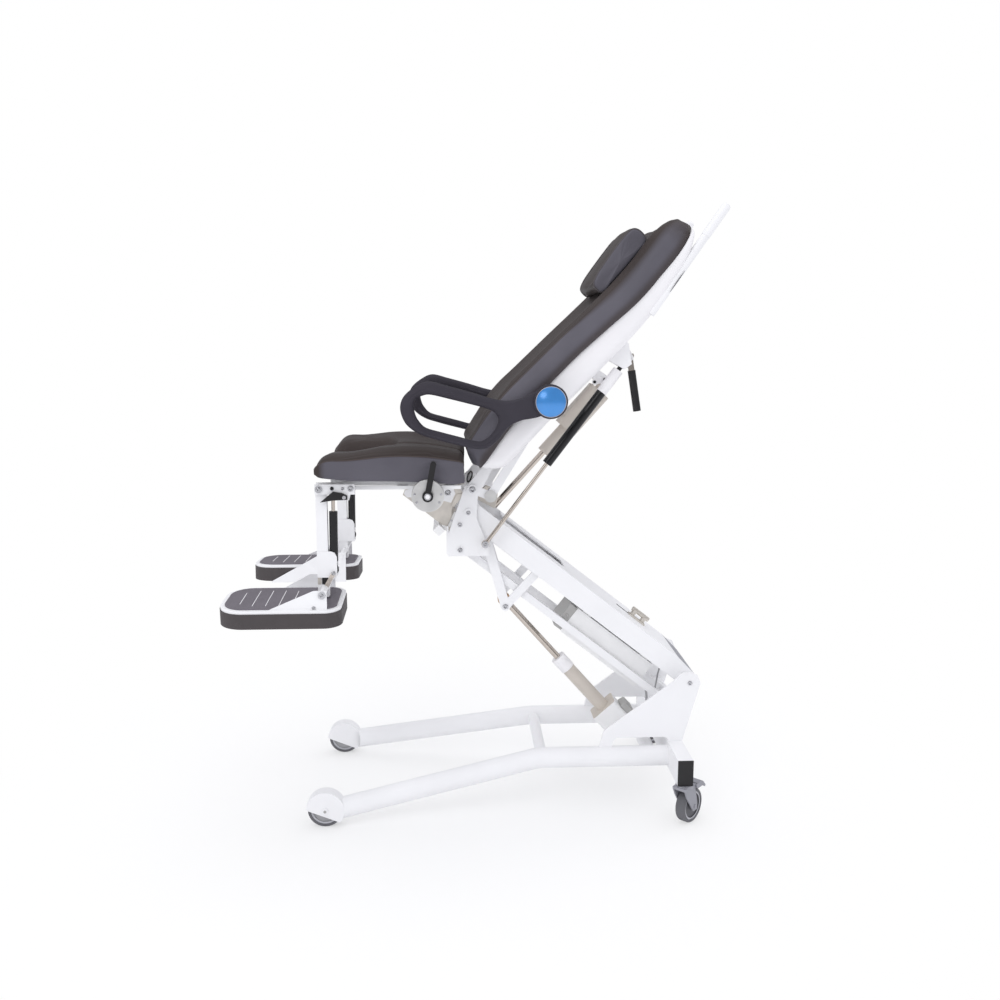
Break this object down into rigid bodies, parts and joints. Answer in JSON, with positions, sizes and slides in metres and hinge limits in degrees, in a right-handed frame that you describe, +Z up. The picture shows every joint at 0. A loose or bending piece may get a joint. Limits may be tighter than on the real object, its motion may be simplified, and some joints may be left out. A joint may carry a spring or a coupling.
{
  "type": "gynecological examination chair",
  "caption": "Upholstered examination chair with a reclining back, armrests, notched tilting seat and swing-out footrests on a motor-lifted parallelogram base with casters.",
  "frame": {"origin": "on the floor under the middle of the chair", "axes": "+Z up, the patient faces -X, the patient's left is -Y"},
  "size_m": [1.3879, 0.7122, 1.7334],
  "materials": {
    "white_coat": "satin white powder coat",
    "white_shell": "satin white moulding",
    "upholstery": "charcoal upholstery",
    "armrest_grey": "satin dark grey",
    "blue_cap": "metallic blue",
    "motor_grey": "light grey moulding",
    "bright_steel": "polished",
    "black_gloss": "gloss black",
    "black_plastic": "black",
    "caster_grey": "mid grey",
    "wheel_grey": "grey tread",
    "clamp_metal": "brushed",
    "board": "dark covered board"
  },
  "bodies": {
    "base": {"base_legs": "white_coat", "side_plates": "white_coat", "base_cross_members": "white_coat", "rear_beam": "white_coat", "beam_end_caps": "black_plastic", "base_shafts": "bright_steel"},
    "lift": {"lift_arm": "white_coat", "actuator_bracket": "white_coat", "control_box": "motor_grey", "cable_hook": "black_plastic", "control_cables": "motor_grey"},
    "link": {"parallel_link": "white_coat"},
    "carrier": {"carrier_frame": "white_coat", "carrier_pins": "bright_steel", "seat_bracket": "white_coat"},
    "lift_motor": {"lift_actuator_body": "motor_grey"},
    "lift_rod": {"lift_actuator_rod": "bright_steel"},
    "back": {"back_frame": "white_coat", "push_handles": "white_coat", "armrest_shaft": "bright_steel", "back_shell": "white_shell", "back_pad": "upholstery", "head_pillow": "upholstery"},
    "back_rod": {"back_actuator_rod": "bright_steel"},
    "back_motor": {"back_actuator_body": "motor_grey"},
    "gas_rod": {"gas_spring_rod": "bright_steel"},
    "gas_cylinder": {"gas_spring_cylinder": "black_gloss"},
    "release": {"release_lever": "black_plastic"},
    "seat": {"seat_frame": "white_coat", "seat_board": "board", "thigh_pad_left": "upholstery", "thigh_pad_right": "upholstery", "seat_shaft": "bright_steel", "clamp_disc": "clamp_metal", "footrest_pins": "bright_steel"},
    "clamp": {"clamp_lever": "black_plastic"},
    "front_wheel_left": {"front_wheel_left": "wheel_grey"},
    "caster_left": {"caster_fork_left": "caster_grey"},
    "caster_wheel_left": {"caster_wheel_left": "wheel_grey"},
    "pedal_left": {"brake_pedal_left": "caster_grey"},
    "armrest_left": {"armrest_left": "armrest_grey", "armrest_cap_left": "blue_cap"},
    "footrest_left": {"footrest_post_left": "white_coat", "footplate_left": "white_shell", "footplate_rubber_left": "black_plastic"},
    "foot_rod_left": {"footrest_spring_rod_left": "bright_steel"},
    "foot_cylinder_left": {"footrest_spring_cylinder_left": "black_gloss"},
    "trigger_left": {"release_trigger_left": "black_plastic"},
    "front_wheel_right": {"front_wheel_right": "wheel_grey"},
    "caster_right": {"caster_fork_right": "caster_grey"},
    "caster_wheel_right": {"caster_wheel_right": "wheel_grey"},
    "pedal_right": {"brake_pedal_right": "caster_grey"},
    "armrest_right": {"armrest_right": "armrest_grey", "armrest_cap_right": "blue_cap"},
    "footrest_right": {"footrest_post_right": "white_coat", "footplate_right": "white_shell", "footplate_rubber_right": "black_plastic"},
    "foot_rod_right": {"footrest_spring_rod_right": "bright_steel"},
    "foot_cylinder_right": {"footrest_spring_cylinder_right": "black_gloss"},
    "trigger_right": {"release_trigger_right": "black_plastic"}
  },
  "joints": [
    {"name": "lift_turn", "type": "hinge", "parent": "base", "child": "lift", "pos_m": [0.64, 0, 0.374], "axis": [0, 1, 0], "range_deg": [-28, 0], "deforming": ["control_cables"]},
    {"name": "link_turn", "type": "hinge", "parent": "base", "child": "link", "pos_m": [0.616, 0, 0.265], "axis": [0, 1, 0], "range_deg": [-28, 0]},
    {"name": "carrier_turn", "type": "hinge", "parent": "lift", "child": "carrier", "pos_m": [-0.009, 0, 0.882], "axis": [0, 1, 0], "range_deg": [0, 28]},
    {"name": "lift_motor_turn", "type": "hinge", "parent": "base", "child": "lift_motor", "pos_m": [0.468, 0, 0.177], "axis": [0, 1, 0], "range_deg": [-30, 0]},
    {"name": "lift_stroke", "type": "slide", "parent": "lift_motor", "child": "lift_rod", "axis": [-0.6631, 0, 0.7485], "range_m": [-0.128, 0]},
    {"name": "recline", "type": "hinge", "parent": "carrier", "child": "back", "pos_m": [0.003, 0, 0.95], "axis": [0, 1, 0], "range_deg": [0, 40]},
    {"name": "back_rod_turn", "type": "hinge", "parent": "carrier", "child": "back_rod", "pos_m": [0.062, 0, 0.868], "axis": [0, 1, 0], "range_deg": [0, 41.5]},
    {"name": "back_stroke", "type": "slide", "parent": "back_rod", "child": "back_motor", "axis": [0.67, 0, 0.7423], "range_m": [-0.071, 0]},
    {"name": "gas_rod_turn", "type": "hinge", "parent": "carrier", "child": "gas_rod", "pos_m": [0.039, -0.156, 0.794], "axis": [0, 1, 0], "range_deg": [0, 36.5]},
    {"name": "gas_stroke", "type": "slide", "parent": "gas_rod", "child": "gas_cylinder", "axis": [0.6039, 0, 0.797], "range_m": [-0.102, 0]},
    {"name": "release_pull", "type": "hinge", "parent": "back", "child": "release", "pos_m": [0.448, -0.138, 1.322], "axis": [0, 1, 0], "range_deg": [0, 12], "stiffness_Nm_per_rad": 0.8},
    {"name": "tilt", "type": "hinge", "parent": "carrier", "child": "seat", "pos_m": [-0.121, 0, 0.951], "axis": [0, 1, 0], "range_deg": [-6, 0]},
    {"name": "clamp_turn", "type": "hinge", "parent": "seat", "child": "clamp", "pos_m": [-0.121, -0.2695, 0.951], "axis": [0, 1, 0], "range_deg": [0, 70]},
    {"name": "front_roll_left", "type": "hinge", "parent": "base", "child": "front_wheel_left", "pos_m": [-0.422, -0.26, 0.05], "axis": [0, 1, 0], "continuous": true},
    {"name": "swivel_left", "type": "hinge", "parent": "base", "child": "caster_left", "pos_m": [0.6, -0.303, 0.1205], "axis": [0, 0, 1], "continuous": true},
    {"name": "caster_roll_left", "type": "hinge", "parent": "caster_left", "child": "caster_wheel_left", "pos_m": [0.6198, -0.2832, 0.05], "axis": [-0.7071, 0.7071, 0], "continuous": true},
    {"name": "brake_left", "type": "hinge", "parent": "caster_left", "child": "pedal_left", "pos_m": [0.62333, -0.27966, 0.1115], "axis": [-0.7071, 0.7071, 0], "range_deg": [0, 8]},
    {"name": "armrest_lift_left", "type": "hinge", "parent": "back", "child": "armrest_left", "pos_m": [0.2104, -0.282, 1.20806], "axis": [0, 1, 0], "range_deg": [0, 100]},
    {"name": "swing_left", "type": "hinge", "parent": "seat", "child": "footrest_left", "pos_m": [-0.415, -0.25, 0.973], "axis": [0, 1, 0], "range_deg": [0, 45]},
    {"name": "foot_rod_turn_left", "type": "hinge", "parent": "seat", "child": "foot_rod_left", "pos_m": [-0.379, -0.25, 0.973], "axis": [0, 1, 0], "range_deg": [0, 48]},
    {"name": "foot_stroke_left", "type": "slide", "parent": "foot_rod_left", "child": "foot_cylinder_left", "axis": [-0.0088, 0, -1], "range_m": [0, 0.0295]},
    {"name": "trigger_pull_left", "type": "hinge", "parent": "seat", "child": "trigger_left", "pos_m": [-0.346, -0.275, 0.951], "axis": [0, 1, 0], "range_deg": [0, 8], "stiffness_Nm_per_rad": 0.5},
    {"name": "front_roll_right", "type": "hinge", "parent": "base", "child": "front_wheel_right", "pos_m": [-0.422, 0.26, 0.05], "axis": [0, 1, 0], "continuous": true},
    {"name": "swivel_right", "type": "hinge", "parent": "base", "child": "caster_right", "pos_m": [0.6, 0.303, 0.1205], "axis": [0, 0, 1], "continuous": true},
    {"name": "caster_roll_right", "type": "hinge", "parent": "caster_right", "child": "caster_wheel_right", "pos_m": [0.6198, 0.2832, 0.05], "axis": [0.7071, 0.7071, 0], "continuous": true},
    {"name": "brake_right", "type": "hinge", "parent": "caster_right", "child": "pedal_right", "pos_m": [0.62333, 0.27966, 0.1115], "axis": [0.7071, 0.7071, 0], "range_deg": [0, 8]},
    {"name": "armrest_lift_right", "type": "hinge", "parent": "back", "child": "armrest_right", "pos_m": [0.2104, 0.282, 1.20806], "axis": [0, 1, 0], "range_deg": [0, 100]},
    {"name": "swing_right", "type": "hinge", "parent": "seat", "child": "footrest_right", "pos_m": [-0.415, 0.25, 0.973], "axis": [0, 1, 0], "range_deg": [0, 45]},
    {"name": "foot_rod_turn_right", "type": "hinge", "parent": "seat", "child": "foot_rod_right", "pos_m": [-0.379, 0.25, 0.973], "axis": [0, 1, 0], "range_deg": [0, 48]},
    {"name": "foot_stroke_right", "type": "slide", "parent": "foot_rod_right", "child": "foot_cylinder_right", "axis": [-0.0088, 0, -1], "range_m": [0, 0.0295]},
    {"name": "trigger_pull_right", "type": "hinge", "parent": "seat", "child": "trigger_right", "pos_m": [-0.346, 0.275, 0.951], "axis": [0, 1, 0], "range_deg": [0, 8], "stiffness_Nm_per_rad": 0.5}
  ],
  "couplings": [
    {"joint": "link_turn", "follows": "lift_turn", "ratio": 1},
    {"joint": "carrier_turn", "follows": "lift_turn", "ratio": -1},
    {"joint": "lift_motor_turn", "follows": "lift_turn", "ratio": 1.0426},
    {"joint": "lift_stroke", "follows": "lift_turn", "m_per_rad": 0.25789},
    {"joint": "back_rod_turn", "follows": "recline", "ratio": 1.0165},
    {"joint": "back_stroke", "follows": "recline", "m_per_rad": -0.09865},
    {"joint": "gas_rod_turn", "follows": "recline", "ratio": 0.8896},
    {"joint": "gas_stroke", "follows": "recline", "m_per_rad": -0.14261},
    {"joint": "foot_rod_turn_left", "follows": "swing_left", "ratio": 0.9496},
    {"joint": "foot_stroke_left", "follows": "swing_left", "m_per_rad": 0.03286},
    {"joint": "foot_rod_turn_right", "follows": "swing_right", "ratio": 0.9496},
    {"joint": "foot_stroke_right", "follows": "swing_right", "m_per_rad": 0.03286}
  ]
}
